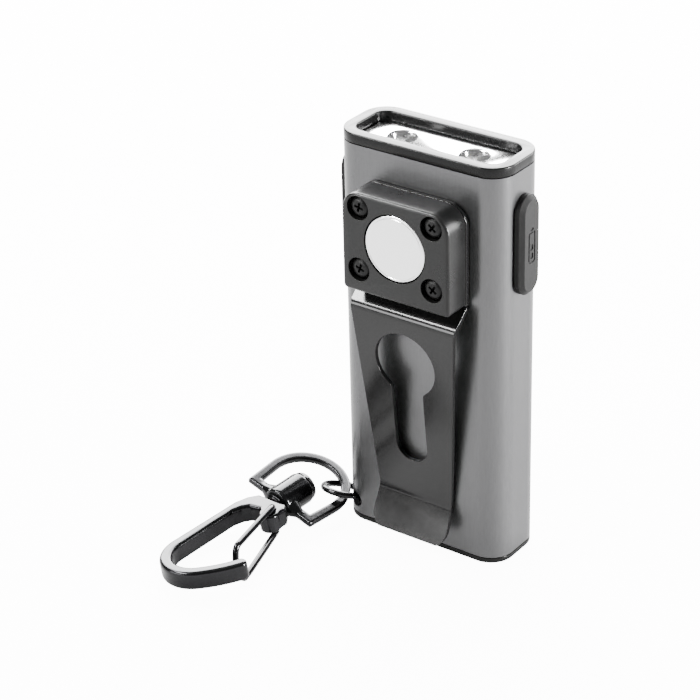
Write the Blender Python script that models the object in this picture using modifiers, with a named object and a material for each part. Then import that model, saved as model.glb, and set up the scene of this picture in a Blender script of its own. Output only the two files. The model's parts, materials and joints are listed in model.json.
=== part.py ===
import bpy
import bmesh
from math import cos, sin, pi, radians, acos, atan2, hypot
from mathutils import Vector, Matrix

# Keychain flashlight: a slim two-LED torch with a magnet block, a belt clip and a swivel snap hook.
# Origin: middle of the bottom face.  +Z: up to the light head.  -Y: the magnet side.  +X: the charging flap.

MM = 0.001
GAP = 0.15 * MM            # between neighbouring pieces
ARC_STEPS = 6              # segments in a quarter turn

# body
BODY_WIDTH = 28.0 * MM
BODY_DEPTH = 11.4 * MM
BODY_HEIGHT = 63.5 * MM
BODY_CORNER = 3.8 * MM
WALL = 0.9 * MM
CAP_HEIGHT = 0.85 * MM
CAP_PLUG = 0.7 * MM
BEZEL_HEIGHT = 1.45 * MM
BEZEL_RIM = 1.85 * MM
BEZEL_SKIRT = 3.2 * MM
REFLECTOR_DROP = 1.4 * MM
REFLECTOR_HEIGHT = 3.5 * MM
LED_SPACING = 12.1 * MM
WELL_TOP_RADIUS = 2.1 * MM
WELL_BOTTOM_RADIUS = 1.5 * MM

# side openings
SIDE_Z = 50.7 * MM
FLAP_HEIGHT = 15.2 * MM
FLAP_WIDTH = 4.8 * MM
FLAP_THICKNESS = 1.35 * MM
WINDOW_HEIGHT = 12.8 * MM
WINDOW_WIDTH = 3.6 * MM
BUTTON_TRAVEL = 0.5 * MM
BUTTON_PROUD = 1.25 * MM

# magnet block and clip
BLOCK_WIDTH = 18.0 * MM
BLOCK_LOW = 42.2 * MM
BLOCK_HIGH = 57.5 * MM
BLOCK_FRONT = 5.3 * MM     # how far the block stands out of the body
BLOCK_CORNER = 3.0 * MM
SHEET = 0.7 * MM           # clip sheet
MAGNET_RADIUS = 5.0 * MM
MAGNET_DEPTH = 3.0 * MM
MAGNET_Z = 50.5 * MM
SCREW_X = 6.15 * MM
SCREW_Z = 4.73 * MM
SCREW_HEAD_RADIUS = 1.6 * MM
SCREW_SHAFT_RADIUS = 0.8 * MM
CLIP_BEND_OUT = 4.0 * MM
CLIP_BEND_Z = 39.3 * MM
CLIP_BEND_HALF = 8.85 * MM
CLIP_KINK_Z = 8.5 * MM
CLIP_KINK_HALF = 6.35 * MM
CLIP_LIP_OUT = 3.3 * MM
CLIP_LIP_Z = 2.6 * MM

# key ring hardware
RING_RADIUS = 3.1 * MM
RING_WIRE = 0.5 * MM
RING_CENTRE = Vector((-14.9, -4.2, 3.05)) * MM
RING_TILT = 20.0
RING_HOLE = 1.0 * MM         # in the case's side; the one in its round corner is wider
CORNER_HOLE = 1.25 * MM
SWIVEL_CENTRE = Vector((-20.4, -12.5, 3.45)) * MM
SWIVEL_YAW = -7.0
SWIVEL_PITCH = 4.2
D_ROLL = 14.0
HOOK_ROLL = -5.0
D_HALF_WIDTH = 6.5 * MM
D_RADIUS = 6.9 * MM
D_CENTRE = 5.1 * MM
D_BAR = 1.5 * MM
D_THICKNESS = 1.1 * MM
BOSS_RADIUS = 2.5 * MM
BOSS_INNER = 4.4 * MM
BOSS_OUTER = 1.3 * MM
BAR_SWELL = 2.0 * MM
BAR_SWELL_HALF = 4.6 * MM
PIN_RADIUS = 0.9 * MM
PIN_HEAD_RADIUS = 2.3 * MM
PIN_HEAD = 0.9 * MM
HOOK_THICKNESS = 3.0 * MM
GATE_WIRE = 0.5 * MM
GATE_PIVOT = (2.4 * MM, -4.2 * MM)

CASE_BOTTOM = CAP_HEIGHT + GAP
CASE_TOP = BODY_HEIGHT - BEZEL_HEIGHT - GAP
INNER_WIDTH = BODY_WIDTH - 2 * WALL
INNER_DEPTH = BODY_DEPTH - 2 * WALL
FRONT = -BODY_DEPTH / 2
SIDE = BODY_WIDTH / 2

for old in list(bpy.data.objects):
    bpy.data.objects.remove(old, do_unlink=True)

parts = bpy.data.collections.new("keychain_flashlight")
tools = bpy.data.collections.new("cutters")
for group in (parts, tools):
    bpy.context.scene.collection.children.link(group)


def material(name, colour, roughness, metallic=0.0):
    mat = bpy.data.materials.new(name)
    mat.use_nodes = True
    shader = mat.node_tree.nodes["Principled BSDF"]
    shader.inputs["Base Color"].default_value = (*colour, 1.0)
    shader.inputs["Roughness"].default_value = roughness
    shader.inputs["Metallic"].default_value = metallic
    return mat


def arc(cx, cy, radius, start, end, steps):
    angles = [radians(start + (end - start) * i / steps) for i in range(steps + 1)]
    return [(cx + radius * cos(a), cy + radius * sin(a)) for a in angles]


def rounded_rectangle(width, height, radius, low_radius=None, centre=(0.0, 0.0)):
    # high corners take radius, low corners take low_radius
    low = radius if low_radius is None else low_radius
    cx, cy = centre
    w, h = width / 2, height / 2
    points = arc(cx + w - radius, cy + h - radius, radius, 0, 90, ARC_STEPS)
    points += arc(cx - w + radius, cy + h - radius, radius, 90, 180, ARC_STEPS)
    points += arc(cx - w + low, cy - h + low, low, 180, 270, ARC_STEPS)
    points += arc(cx + w - low, cy - h + low, low, 270, 360, ARC_STEPS)
    return points


def stadium(width, height, centre=(0.0, 0.0)):
    cx, cy = centre
    reach = (height - width) / 2
    points = arc(cx, cy + reach, width / 2, 0, 180, 2 * ARC_STEPS)
    return points + arc(cx, cy - reach, width / 2, 180, 360, 2 * ARC_STEPS)


def circle(radius, centre=(0.0, 0.0), steps=24):
    return arc(centre[0], centre[1], radius, 0, 360 - 360 / steps, steps - 1)


# turns a flat outline's own X, Y and thickness onto the world's axes
FLAT = {
    "Z": Matrix.Identity(4),
    "Y": Matrix(((1, 0, 0, 0), (0, 0, -1, 0), (0, 1, 0, 0), (0, 0, 0, 1))),
    "X": Matrix(((0, 0, 1, 0), (1, 0, 0, 0), (0, 1, 0, 0), (0, 0, 0, 1))),
}


def tidy_mesh(mesh):
    bm = bmesh.new()
    bm.from_mesh(mesh)
    bmesh.ops.remove_doubles(bm, verts=bm.verts, dist=1e-7)
    bmesh.ops.recalc_face_normals(bm, faces=bm.faces)
    bm.to_mesh(mesh)
    bm.free()
    return mesh


def mesh_from_curve(name, curve):
    holder = bpy.data.objects.new(name + "_curve", curve)
    tools.objects.link(holder)
    bpy.context.view_layer.update()
    evaluated = holder.evaluated_get(bpy.context.evaluated_depsgraph_get())
    mesh = tidy_mesh(bpy.data.meshes.new_from_object(evaluated))
    bpy.data.objects.remove(holder, do_unlink=True)
    bpy.data.curves.remove(curve)
    mesh.name = name
    return mesh


def add_object(name, mesh, parent=None, cutter=False):
    obj = bpy.data.objects.new(name, mesh)
    (tools if cutter else parts).objects.link(obj)
    obj.parent = parent
    if cutter:
        obj.hide_render = True
        obj.display_type = "WIRE"
    return obj


def plate(name, outlines, low, high, facing="Z", parent=None, cutter=False):
    # a flat outline, with any holes as further outlines, from low to high along the facing axis
    curve = bpy.data.curves.new(name, "CURVE")
    curve.dimensions = "2D"
    curve.fill_mode = "BOTH"
    curve.extrude = (high - low) / 2
    for outline in outlines:
        spline = curve.splines.new("POLY")
        spline.points.add(len(outline) - 1)
        for point, (x, y) in zip(spline.points, outline):
            point.co = (x, y, 0, 1)
        spline.use_cyclic_u = True
    mesh = mesh_from_curve(name, curve)
    middle = (low + high) / 2
    along = middle if facing != "Y" else -middle
    mesh.transform(FLAT[facing] @ Matrix.Translation((0, 0, along)))
    return add_object(name, tidy_mesh(mesh), parent, cutter)


def cone(name, low_radius, high_radius, base, top, steps=24, parent=None, cutter=False):
    # a round piece between two points on its axis
    base, top = Vector(base), Vector(top)
    mesh = bpy.data.meshes.new(name)
    bm = bmesh.new()
    length = (top - base).length
    bmesh.ops.create_cone(bm, cap_ends=True, segments=steps, radius1=low_radius,
                          radius2=high_radius, depth=length)
    turn = Vector((0, 0, 1)).rotation_difference(top - base).to_matrix().to_4x4()
    bm.transform(Matrix.Translation((base + top) / 2) @ turn)
    bm.to_mesh(mesh)
    bm.free()
    return add_object(name, mesh, parent, cutter)


def box(name, low, high, parent=None, cutter=False):
    mesh = bpy.data.meshes.new(name)
    bm = bmesh.new()
    bmesh.ops.create_cube(bm, size=1.0)
    low, high = Vector(low), Vector(high)
    bm.transform(Matrix.Translation((low + high) / 2) @ Matrix.Diagonal((*(high - low), 1)))
    bm.to_mesh(mesh)
    bm.free()
    return add_object(name, mesh, parent, cutter)


def wire(name, points, radius, parent=None):
    curve = bpy.data.curves.new(name, "CURVE")
    curve.dimensions = "3D"
    curve.bevel_depth = radius
    curve.bevel_resolution = 2
    curve.use_fill_caps = True
    spline = curve.splines.new("POLY")
    spline.points.add(len(points) - 1)
    for point, place in zip(spline.points, points):
        point.co = (*place, 1)
    return add_object(name, mesh_from_curve(name, curve), parent)


def boolean(obj, other, operation="DIFFERENCE"):
    mod = obj.modifiers.new(operation.lower(), "BOOLEAN")
    mod.operation = operation
    mod.solver = "EXACT"
    mod.object = other


def bevel(obj, width, segments=2, angle=40):
    mod = obj.modifiers.new("bevel", "BEVEL")
    mod.width = width
    mod.segments = segments
    mod.limit_method = "ANGLE"
    mod.angle_limit = radians(angle)


def paint(obj, mat, smooth=True):
    obj.data.materials.clear()
    obj.data.materials.append(mat)
    if smooth:
        obj.data.shade_smooth()
        obj.data.set_sharp_from_angle(angle=radians(30))
    return obj


def smooth_route(points, steps):
    # a Catmull-Rom curve through the points, so a bent wire has round corners
    points = [Vector(p) for p in points]
    ends = [2 * points[0] - points[1]] + points + [2 * points[-1] - points[-2]]
    route = []
    for a, b, c, d in zip(ends, ends[1:], ends[2:], ends[3:]):
        for i in range(steps):
            t = i / steps
            route.append(0.5 * (2 * b + (c - a) * t + (2 * a - 5 * b + 4 * c - d) * t ** 2
                                + (3 * b - 3 * c + d - a) * t ** 3))
    return route + [points[-1]]


anodised = material("gunmetal_anodised", (0.24, 0.24, 0.25), 0.38, 0.9)
black_plastic = material("black_plastic", (0.02, 0.02, 0.022), 0.4)
rubber = material("black_rubber", (0.03, 0.03, 0.032), 0.6)
black_steel = material("black_painted_steel", (0.02, 0.02, 0.02), 0.3, 0.4)
black_nickel = material("black_nickel", (0.05, 0.05, 0.055), 0.18, 1.0)
chrome = material("chrome", (0.9, 0.9, 0.9), 0.08, 1.0)
steel = material("zinc_plated_steel", (0.6, 0.6, 0.58), 0.3, 1.0)
board_green = material("board_green", (0.02, 0.12, 0.05), 0.5)
led_yellow = material("led_phosphor", (0.85, 0.75, 0.3), 0.35)
foil = material("cell_foil", (0.7, 0.7, 0.72), 0.35, 0.8)
grey_plastic = material("grey_plastic", (0.3, 0.3, 0.3), 0.5)


def make_case():
    outer = rounded_rectangle(BODY_WIDTH, BODY_DEPTH, BODY_CORNER)
    inner = rounded_rectangle(INNER_WIDTH, INNER_DEPTH, BODY_CORNER - WALL)
    case = plate("case_shell", [outer, inner], CASE_BOTTOM, CASE_TOP)
    reach = 2 * WALL
    flap_hole = stadium(WINDOW_WIDTH, WINDOW_HEIGHT, (0, SIDE_Z))
    boolean(case, plate("flap_window", [flap_hole], SIDE - reach, SIDE + reach, "X", cutter=True))
    button_hole = stadium(FLAP_WIDTH + 2 * GAP, FLAP_HEIGHT + 2 * GAP, (0, SIDE_Z))
    boolean(case, plate("button_window", [button_hole], -SIDE - reach, -SIDE + reach, "X",
                        cutter=True))
    for i, (x, z) in enumerate(screw_places()):
        boolean(case, cone(f"case_screw_hole_{i + 1}", SCREW_SHAFT_RADIUS + GAP,
                           SCREW_SHAFT_RADIUS + GAP, (x, FRONT - reach, z),
                           (x, FRONT + reach, z), 16, cutter=True))
    for name, radius, start, end in ring_holes():
        boolean(case, cone(name, radius, radius, start, end, 20, cutter=True))
    paint(case, anodised)


def screw_places():
    return [(sx * SCREW_X, MAGNET_Z + sz * SCREW_Z) for sz in (1, -1) for sx in (-1, 1)]


def ring_frame():
    return Matrix.Translation(RING_CENTRE) @ Matrix.Rotation(-radians(RING_TILT), 4, "X")


def ring_holes():
    # the ring runs through one hole in the front face and one in the side face
    places = []
    middle = WALL / 2
    for name, angle, axis, radius in (("ring_hole_corner", -2.0, "Y", CORNER_HOLE),
                                      ("ring_hole_side", 64.0, "X", RING_HOLE)):
        spot = ring_frame() @ Vector((RING_RADIUS * cos(radians(angle)),
                                      RING_RADIUS * sin(radians(angle)), 0))
        if axis == "Y":
            spot.y = FRONT + WALL
            reach = Vector((0, 3 * WALL, 0))
        else:
            spot.x = -SIDE + middle
            reach = Vector((2.2 * WALL, 0, 0))
        places.append((name, radius, spot - reach, spot + reach))
    return places


def make_bottom_cap():
    outer = rounded_rectangle(BODY_WIDTH, BODY_DEPTH, BODY_CORNER)
    cap = plate("bottom_cap", [outer], 0, CAP_HEIGHT)
    bevel(cap, 0.3 * MM, 2)
    plug_outline = rounded_rectangle(INNER_WIDTH - 2 * GAP, INNER_DEPTH - 2 * GAP,
                                     BODY_CORNER - WALL - GAP)
    plug = plate("cap_plug", [plug_outline], CAP_HEIGHT / 2, CAP_HEIGHT + CAP_PLUG, cutter=True)
    boolean(cap, plug, "UNION")
    paint(cap, black_plastic)


def make_bezel():
    outer = rounded_rectangle(BODY_WIDTH, BODY_DEPTH, BODY_CORNER)
    opening = rounded_rectangle(BODY_WIDTH - 2 * BEZEL_RIM, BODY_DEPTH - 2 * BEZEL_RIM,
                                BODY_CORNER - BEZEL_RIM)
    rim_low = BODY_HEIGHT - BEZEL_HEIGHT
    bezel = plate("top_bezel", [outer, opening], rim_low, BODY_HEIGHT)
    skirt_outline = rounded_rectangle(INNER_WIDTH - 2 * GAP, INNER_DEPTH - 2 * GAP,
                                      BODY_CORNER - WALL - GAP)
    skirt = plate("bezel_skirt", [skirt_outline, opening], rim_low - BEZEL_SKIRT,
                  rim_low + BEZEL_HEIGHT / 2, cutter=True)
    boolean(bezel, skirt, "UNION")
    paint(bezel, black_plastic)


def make_light_head():
    width = BODY_WIDTH - 2 * BEZEL_RIM - 2 * GAP
    depth = BODY_DEPTH - 2 * BEZEL_RIM - 2 * GAP
    corner = BODY_CORNER - BEZEL_RIM - GAP
    top = BODY_HEIGHT - REFLECTOR_DROP
    bottom = top - REFLECTOR_HEIGHT
    reflector = plate("reflector_plate", [rounded_rectangle(width, depth, corner)], bottom, top)
    lip = 0.3 * MM
    slope = (WELL_TOP_RADIUS - WELL_BOTTOM_RADIUS) / REFLECTOR_HEIGHT
    paint(reflector, chrome)
    board_top = bottom - 0.8 * MM
    board_outline = rounded_rectangle(width, depth, corner)
    paint(plate("led_board", [board_outline], board_top - 0.8 * MM, board_top), grey_plastic)
    for name, x in (("led_left", -LED_SPACING / 2), ("led_right", LED_SPACING / 2)):
        boolean(reflector, cone(name + "_well", WELL_BOTTOM_RADIUS - slope * lip,
                                WELL_TOP_RADIUS + slope * lip, (x, 0, bottom - lip),
                                (x, 0, top + lip), 28, cutter=True))
        half = 1.5 * MM
        base = board_top + GAP
        led = box(name, (x - half, -half, base), (x + half, half, base + 0.5 * MM))
        dome = bpy.data.meshes.new(name + "_dome")
        bm = bmesh.new()
        bmesh.ops.create_uvsphere(bm, u_segments=20, v_segments=10, radius=1.15 * MM)
        bm.transform(Matrix.Translation((x, 0, base + 0.45 * MM)))
        bm.to_mesh(dome)
        bm.free()
        boolean(led, add_object(name + "_dome", dome, cutter=True), "UNION")
        floor = box(name + "_trim", (x - 2 * half, -2 * half, base - 2 * MM),
                    (x + 2 * half, 2 * half, base), cutter=True)
        boolean(led, floor)
        paint(led, led_yellow)


def make_insides():
    back = INNER_DEPTH / 2 - GAP
    board_front = 1.5 * MM
    board = plate("main_board", [rounded_rectangle(23.0 * MM, 49.0 * MM, 1.0 * MM,
                                                   centre=(0, 30.8 * MM))],
                  board_front, board_front + 0.8 * MM, "Y")
    paint(board, board_green)
    cell = plate("battery_cell", [rounded_rectangle(21.0 * MM, 34.0 * MM, 1.0 * MM,
                                                    centre=(0.8 * MM, 24.5 * MM))],
                 -4.2 * MM, board_front - 0.4 * MM, "Y")
    bevel(cell, 0.8 * MM, 2)
    paint(cell, foil)
    rail = 1.2 * MM
    half = 10.8 * MM
    shelf = board_front + 0.8 * MM + GAP
    outline = [(-half, shelf), (-half + rail, shelf), (-half + rail, back - 0.9 * MM),
               (half - rail, back - 0.9 * MM), (half - rail, shelf), (half, shelf),
               (half, back - 0.4 * MM), (half - 0.4 * MM, back),
               (-half + 0.4 * MM, back), (-half, back - 0.4 * MM)]
    paint(plate("inner_carrier", [outline], 5.0 * MM, 55.5 * MM), grey_plastic)
    nut_outline = rounded_rectangle(16.0 * MM, 12.6 * MM, 1.0 * MM, centre=(0, MAGNET_Z))
    nut_front = FRONT + WALL + GAP
    holes = [circle(SCREW_SHAFT_RADIUS + 0.1 * MM, place, 16) for place in screw_places()]
    paint(plate("nut_plate", [nut_outline] + holes, nut_front, nut_front + 1.2 * MM, "Y"), steel)


def make_socket_and_switch():
    mouth = SIDE - WALL - 0.2 * MM
    shell = rounded_rectangle(2.7 * MM, 7.6 * MM, 0.7 * MM, centre=(-0.1 * MM, SIDE_Z))
    socket = plate("usb_socket", [shell], mouth - 5.2 * MM, mouth, "X")
    hollow = rounded_rectangle(2.1 * MM, 7.0 * MM, 0.5 * MM, centre=(-0.1 * MM, SIDE_Z))
    boolean(socket, plate("socket_mouth", [hollow], mouth - 4.6 * MM, mouth + WALL, "X",
                          cutter=True))
    paint(socket, steel)
    switch_inner = -SIDE + 5.4 * MM
    switch = box("tact_switch", (-SIDE + 2.4 * MM, -1.6 * MM, SIDE_Z - 2.0 * MM),
                 (switch_inner, 1.2 * MM, SIDE_Z + 2.0 * MM))
    boolean(switch, box("switch_plunger", (-SIDE + 2.05 * MM, -0.7 * MM, SIDE_Z - 0.9 * MM),
                        (switch_inner - 1.0 * MM, 0.7 * MM, SIDE_Z + 0.9 * MM), cutter=True),
            "UNION")
    paint(switch, grey_plastic, smooth=False)


def make_flap():
    hinge = bpy.data.objects.new("flap_hinge", None)
    tools.objects.link(hinge)
    hinge.location = (SIDE + GAP, 0, SIDE_Z + FLAP_HEIGHT / 2)
    drop = -FLAP_HEIGHT / 2
    flap = plate("usb_flap", [stadium(FLAP_WIDTH, FLAP_HEIGHT, (0, drop))], 0, FLAP_THICKNESS,
                 "X", hinge)
    bevel(flap, 0.45 * MM, 3)
    clear = 0.3 * MM
    neck = stadium(WINDOW_WIDTH - 2 * clear, WINDOW_HEIGHT - 2 * clear, (0, drop))
    boolean(flap, plate("flap_neck", [neck], -WALL - GAP, 0.4 * MM, "X", hinge, True), "UNION")
    plug = rounded_rectangle(1.3 * MM, 6.0 * MM, 0.4 * MM, centre=(-0.1 * MM, drop))
    boolean(flap, plate("flap_plug", [plug], -WALL - 1.6 * MM, -WALL / 2, "X", hinge, True),
            "UNION")
    paint(flap, rubber)


def make_button():
    face = -SIDE - BUTTON_PROUD
    pad = stadium(FLAP_WIDTH, FLAP_HEIGHT, (0, SIDE_Z))
    button = plate("power_button", [pad], face, -SIDE + WALL + 0.5 * MM, "X")
    bevel(button, 0.4 * MM, 3)
    flange = stadium(FLAP_WIDTH + 0.8 * MM, FLAP_HEIGHT + 1.0 * MM, (0, SIDE_Z))
    inner = -SIDE + WALL + 0.32 * MM
    boolean(button, plate("button_flange", [flange], inner, inner + 0.2 * MM, "X", cutter=True),
            "UNION")
    paint(button, rubber)


def make_magnet_block():
    height = BLOCK_HIGH - BLOCK_LOW
    centre = (0, (BLOCK_HIGH + BLOCK_LOW) / 2)
    outline = rounded_rectangle(BLOCK_WIDTH, height, BLOCK_CORNER, 0.6 * MM, centre)
    face = FRONT - BLOCK_FRONT
    back = FRONT - SHEET - 2 * GAP
    block = plate("magnet_housing", [outline], face, back, "Y")
    bevel(block, 0.4 * MM, 2, 60)
    pocket_radius = MAGNET_RADIUS + GAP
    boolean(block, cone("magnet_pocket", pocket_radius, pocket_radius, (0, face - MM, MAGNET_Z),
                        (0, face + MAGNET_DEPTH + GAP, MAGNET_Z), 40, cutter=True))
    head_seat = face + 1.6 * MM
    for i, (x, z) in enumerate(screw_places()):
        bore = cone(f"head_bore_{i + 1}", 1.8 * MM, 1.8 * MM, (x, face - MM, z),
                    (x, head_seat, z), 24, cutter=True)
        boolean(block, bore)
        hole = cone(f"shaft_hole_{i + 1}", SCREW_SHAFT_RADIUS + GAP, SCREW_SHAFT_RADIUS + GAP,
                    (x, head_seat - MM, z), (x, back + MM, z), 16, cutter=True)
        boolean(block, hole)
        make_screw(i + 1, x, z, head_seat - GAP)
    paint(block, black_plastic)
    magnet = cone("magnet", MAGNET_RADIUS, MAGNET_RADIUS, (0, face + MAGNET_DEPTH, MAGNET_Z),
                  (0, face + 0.05 * MM, MAGNET_Z), 40)
    bevel(magnet, 0.2 * MM, 2)
    paint(magnet, chrome)


def make_screw(number, x, z, seat):
    # pan head with a cross recess; the head rises 1.2 mm from its seat
    name = f"block_screw_{number}"
    head_height = 1.2 * MM
    screw = cone(name, SCREW_HEAD_RADIUS, SCREW_HEAD_RADIUS * 0.8, (x, seat, z),
                 (x, seat - head_height, z), 20)
    shaft_end = FRONT + WALL + 2.2 * MM
    boolean(screw, cone(name + "_shaft", SCREW_SHAFT_RADIUS, SCREW_SHAFT_RADIUS,
                        (x, seat - head_height / 2, z), (x, shaft_end, z), 14, cutter=True),
            "UNION")
    for part_name, half_x, half_z in (("_slot_a", 1.0 * MM, 0.2 * MM),
                                      ("_slot_b", 0.2 * MM, 1.0 * MM)):
        boolean(screw, box(name + part_name, (x - half_x, seat - 2 * head_height, z - half_z),
                           (x + half_x, seat - head_height / 2, z + half_z), cutter=True))
    paint(screw, black_steel)


def sheet_profile(points):
    # the side view of a bent sheet: the outer line and, one sheet further in, the inner line
    outer = [Vector(p) for p in points]
    inner = []
    for i, here in enumerate(outer):
        before = outer[max(i - 1, 0)]
        after = outer[min(i + 1, len(outer) - 1)]
        a = (here - before).normalized() if i else (after - here).normalized()
        b = (after - here).normalized() if i < len(outer) - 1 else a
        normal = Vector((-(a + b).y, (a + b).x)).normalized()
        lean = max(normal.dot(Vector((-a.y, a.x))), 0.5)
        inner.append(here + normal * SHEET / lean)
    return [tuple(p) for p in outer + inner[::-1]]


def make_clip():
    back = FRONT - GAP
    plate_front = back - SHEET
    height = BLOCK_HIGH - BLOCK_LOW
    centre = (0, (BLOCK_HIGH + BLOCK_LOW) / 2)
    outline = rounded_rectangle(BLOCK_WIDTH, height, BLOCK_CORNER, 0.6 * MM, centre)
    holes = [circle(SCREW_SHAFT_RADIUS + GAP, place, 16) for place in screw_places()]
    paint(plate("clip_plate", [outline] + holes, plate_front, back, "Y"), black_steel)

    # the tongue hangs from the bend under the block; (y, z) of its front face, root to lip
    bend = FRONT - CLIP_BEND_OUT
    root_z = BLOCK_LOW - GAP
    kink = FRONT - SHEET - 0.1 * MM
    line = [(plate_front, root_z), (plate_front - 0.3 * MM, root_z - 0.35 * MM),
            (bend + 0.5 * MM, CLIP_BEND_Z + 0.35 * MM), (bend, CLIP_BEND_Z - 0.35 * MM),
            (kink + 0.1 * MM, CLIP_KINK_Z + 0.5 * MM), (kink - 0.12 * MM, CLIP_KINK_Z - 0.5 * MM),
            (FRONT - CLIP_LIP_OUT, CLIP_LIP_Z)]
    tongue = plate("clip_tongue", [sheet_profile(line)], -BLOCK_WIDTH / 2, BLOCK_WIDTH / 2, "X")
    lip = CLIP_KINK_HALF + 0.15 * MM
    mask = [(-BLOCK_WIDTH / 2 - MM, root_z + MM), (-CLIP_BEND_HALF, CLIP_BEND_Z),
            (-CLIP_KINK_HALF, CLIP_KINK_Z), (-lip, CLIP_KINK_Z - 3.0 * MM)]
    mask += arc(-lip + 2.6 * MM, CLIP_LIP_Z + 1.7 * MM, 2.4 * MM, 200, 270, ARC_STEPS)
    mirrored = [(-x, z) for x, z in mask[::-1]]
    keep = plate("tongue_outline", [mask + mirrored], FRONT - 8 * MM, FRONT + MM, "Y", cutter=True)
    boolean(tongue, keep, "INTERSECT")
    round_z = 31.3 * MM
    round_radius = 5.1 * MM
    slot = 2.7 * MM
    slot_low = 17.3 * MM
    key = arc(0, round_z, round_radius, -50, 230, 4 * ARC_STEPS)
    key += [(-slot, round_z - round_radius)]
    key += arc(0, slot_low, slot, 180, 360, 2 * ARC_STEPS) + [(slot, round_z - round_radius)]
    boolean(tongue, plate("keyhole", [key], FRONT - 8 * MM, FRONT + MM, "Y", cutter=True))
    paint(tongue, black_steel)


def empty(name, matrix):
    holder = bpy.data.objects.new(name, None)
    tools.objects.link(holder)
    holder.matrix_world = matrix
    return holder


def make_jump_ring():
    holder = empty("jump_ring_pivot", ring_frame())
    bpy.ops.mesh.primitive_torus_add(major_radius=RING_RADIUS, minor_radius=RING_WIRE,
                                     major_segments=32, minor_segments=10)
    ring = bpy.context.active_object
    for group in list(ring.users_collection):
        group.objects.unlink(ring)
    parts.objects.link(ring)
    ring.name = "jump_ring"
    ring.parent = holder
    paint(ring, black_nickel)


def swivel_frame(roll):
    turn = Matrix.Rotation(radians(SWIVEL_YAW), 4, "Z") @ Matrix.Rotation(radians(SWIVEL_PITCH), 4, "X")
    return Matrix.Translation(SWIVEL_CENTRE) @ turn @ Matrix.Rotation(radians(roll), 4, "Y")


def d_outline(inset):
    # a straight bar, and tangents from its ends to a round arch
    half = D_HALF_WIDTH - inset
    low = -D_BAR / 2 + inset
    radius = D_RADIUS - inset
    dx, dy = half, low - D_CENTRE
    start = atan2(dy, dx) + acos(min(1.0, radius / hypot(dx, dy)))
    points = [(-half, low), (half, low)]
    steps = 5 * ARC_STEPS
    for i in range(steps + 1):
        a = start + (pi - 2 * start) * i / steps
        points.append((radius * cos(a), D_CENTRE + radius * sin(a)))
    return points


def make_d_ring():
    holder = empty("d_ring_frame", swivel_frame(D_ROLL))
    half = D_THICKNESS / 2
    ring = plate("d_ring", [d_outline(0), d_outline(D_BAR)], -half, half, "Z", holder)
    bevel(ring, 0.35 * MM, 2, 60)
    boss = cone("d_ring_boss", BOSS_RADIUS, BOSS_RADIUS, (0, -BOSS_OUTER, 0), (0, BOSS_INNER, 0),
                28, holder, True)
    boolean(ring, boss, "UNION")
    for side in (-1, 1):
        boolean(ring, cone(f"bar_swell_{side + 2}", BAR_SWELL, D_THICKNESS / 2, (0, 0, 0),
                           (side * BAR_SWELL_HALF, 0, 0), 20, holder, True), "UNION")
    bore = PIN_RADIUS + 0.1 * MM
    boolean(ring, cone("d_ring_bore", bore, bore, (0, -BOSS_OUTER - MM, 0),
                       (0, BOSS_INNER + MM, 0), 20, holder, True))
    paint(ring, black_nickel)


def hook_outline():
    # seen from above: the head, the straight spine, the round end and the nose
    mm = MM
    outer = [(-2.6 * mm, -2.0 * mm), (3.0 * mm, -2.0 * mm), (3.8 * mm, -3.0 * mm),
             (3.8 * mm, -5.6 * mm), (3.2 * mm, -6.3 * mm), (1.6 * mm, -6.3 * mm),
             (0.2 * mm, -4.9 * mm), (-1.6 * mm, -5.2 * mm), (-2.6 * mm, -6.8 * mm)]
    bar = 1.9 * mm
    cx, cy, radius = 0.8 * mm, -18.4 * mm, 5.75 * mm
    flare, join, end = 20.0 * mm, 312, 332
    fx = cx + (radius - flare) * cos(radians(join))
    fy = cy + (radius - flare) * sin(radians(join))
    inner = arc(cx, cy, radius - bar, 180, join, 4 * ARC_STEPS)
    inner += arc(fx, fy, flare - bar, join, end, ARC_STEPS)[1:-1]
    tip_x = fx + (flare - bar / 2) * cos(radians(end))
    tip_y = fy + (flare - bar / 2) * sin(radians(end))
    tip = arc(tip_x, tip_y, bar / 2, end - 180, end - 360, ARC_STEPS)
    back = arc(fx, fy, flare, end, join, ARC_STEPS)[1:]
    back += arc(cx, cy, radius, join, 180, 4 * ARC_STEPS)[1:]
    return outer + inner + tip + back + [(-4.5 * mm, -5.6 * mm), (-3.8 * mm, -3.4 * mm)]


def make_hook():
    holder = empty("hook_frame", swivel_frame(HOOK_ROLL))
    half = HOOK_THICKNESS / 2
    hook = plate("snap_hook", [hook_outline()], -half, half, "Z", holder)
    bevel(hook, 0.3 * MM, 2, 60)
    pivot = GATE_WIRE + 0.1 * MM
    px, py = GATE_PIVOT
    boolean(hook, cone("gate_pivot_hole", pivot, pivot, (px, py, -2 * half), (px, py, 2 * half),
                       16, holder, True))
    seat = PIN_RADIUS + 0.1 * MM
    boolean(hook, cone("pin_seat", seat, seat, (0, -3.6 * MM, 0), (0, 0, 0), 20, holder, True))
    paint(hook, black_nickel)
    pin = cone("swivel_pin", PIN_HEAD_RADIUS * 0.8, PIN_HEAD_RADIUS, (0, BOSS_INNER + PIN_HEAD, 0),
               (0, BOSS_INNER + 0.1 * MM, 0), 28, holder)
    boolean(pin, cone("pin_shank", PIN_RADIUS, PIN_RADIUS, (0, BOSS_INNER + PIN_HEAD / 2, 0),
                      (0, -3.5 * MM, 0), 20, holder, True), "UNION")
    paint(pin, black_nickel)
    make_gate(holder)


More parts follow.
